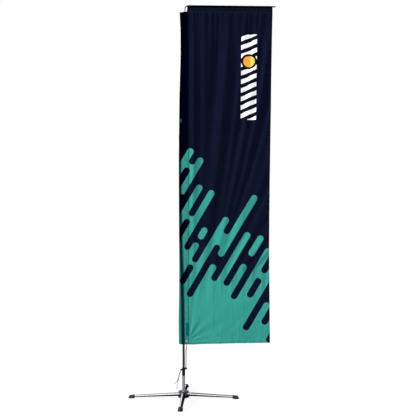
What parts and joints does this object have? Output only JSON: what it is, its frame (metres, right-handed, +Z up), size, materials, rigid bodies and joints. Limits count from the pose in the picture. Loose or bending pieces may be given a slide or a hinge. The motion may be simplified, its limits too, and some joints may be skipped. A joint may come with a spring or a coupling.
{
  "type": "display flag with pole",
  "caption": "Tall rectangular display flag hung from an L-shaped sectional pole that turns on a folding chrome cross base, tensioned below by an elastic cord.",
  "frame": {"origin": "on the floor below the cross base, on the axis that the spigot turns about", "axes": "+Z up along the spigot's axis, +X from the pole towards the flag's free edge, +Y away from the side the flag is seen from"},
  "size_m": [1.2071, 0.91, 3.2235],
  "materials": {
    "hub_black": "satin black powder coat",
    "hub_grey": "satin dark grey powder coat",
    "zinc_steel": "bright zinc plate",
    "bearing_steel": "polished",
    "chromed_tube": "bright chrome plate",
    "chromed_leg": "bright chrome plate",
    "bush_plastic": "natural nylon",
    "foot_rubber": "matt moulded",
    "black_plastic": "moulded",
    "dark_aluminium": "dark anodised",
    "ferrule_steel": "brushed",
    "rod_steel": "drawn bronze tone",
    "crossbar_tube": "satin bronze tone",
    "flag_cloth": "knitted polyester, dye printed in navy and teal",
    "tab_webbing": "woven webbing",
    "grommet_brass": "rolled",
    "hook_plastic": "moulded",
    "elastic_cord": "braided elastic"
  },
  "bodies": {
    "base": {"hub_lower_plate": "hub_black", "hub_upper_cap": "hub_grey", "hub_collar": "hub_grey", "leg_bolts": "zinc_steel", "leg_nuts": "zinc_steel", "axle_bolt": "zinc_steel", "axle_nut": "zinc_steel", "bearing_spacers": "zinc_steel", "bearing_inner_races": "bearing_steel", "bearing_balls": "bearing_steel", "leg_right": "chromed_leg", "leg_left": "chromed_leg", "leg_right_bush": "bush_plastic", "leg_left_bush": "bush_plastic", "foot_right": "foot_rubber", "foot_left": "foot_rubber"},
    "front_leg": {"leg_front": "chromed_leg", "leg_front_bush": "bush_plastic", "foot_front": "foot_rubber"},
    "rear_leg": {"leg_rear": "chromed_leg", "leg_rear_bush": "bush_plastic", "foot_rear": "foot_rubber"},
    "spindle": {"spindle_tube": "chromed_tube", "bearing_outer_races": "bearing_steel", "retaining_rings": "zinc_steel", "spigot": "zinc_steel"},
    "pole": {"pole_sleeve": "black_plastic", "pole_section_lower": "dark_aluminium", "pole_section_middle": "dark_aluminium", "pole_section_upper": "dark_aluminium", "ferrule_lower": "ferrule_steel", "ferrule_middle": "ferrule_steel", "ferrule_upper": "ferrule_steel", "elbow_rod": "rod_steel", "crossbar": "crossbar_tube", "crossbar_cap": "black_plastic", "flag_panel": "flag_cloth", "pole_pocket": "flag_cloth", "crossbar_pocket": "flag_cloth", "reinforcement_tab": "tab_webbing", "grommet": "grommet_brass", "tension_hook": "hook_plastic", "tension_cord": "elastic_cord", "cord_clip": "black_plastic", "cord_tail_long": "elastic_cord", "cord_tail_short": "elastic_cord", "cord_knot": "elastic_cord"}
  },
  "joints": [
    {"name": "front_leg_fold", "type": "hinge", "parent": "base", "child": "front_leg", "pos_m": [0, -0.036, 0], "axis": [0, 0, 1], "range_deg": [0, 88]},
    {"name": "rear_leg_fold", "type": "hinge", "parent": "base", "child": "rear_leg", "pos_m": [0, 0.036, 0], "axis": [0, 0, 1], "range_deg": [0, 88]},
    {"name": "spindle_spin", "type": "hinge", "parent": "base", "child": "spindle", "pos_m": [0, 0, 0], "axis": [0, 0, 1], "continuous": true},
    {"name": "pole_lift", "type": "slide", "parent": "spindle", "child": "pole", "axis": [0, 0, 1], "range_m": [0, 0.12]}
  ]
}
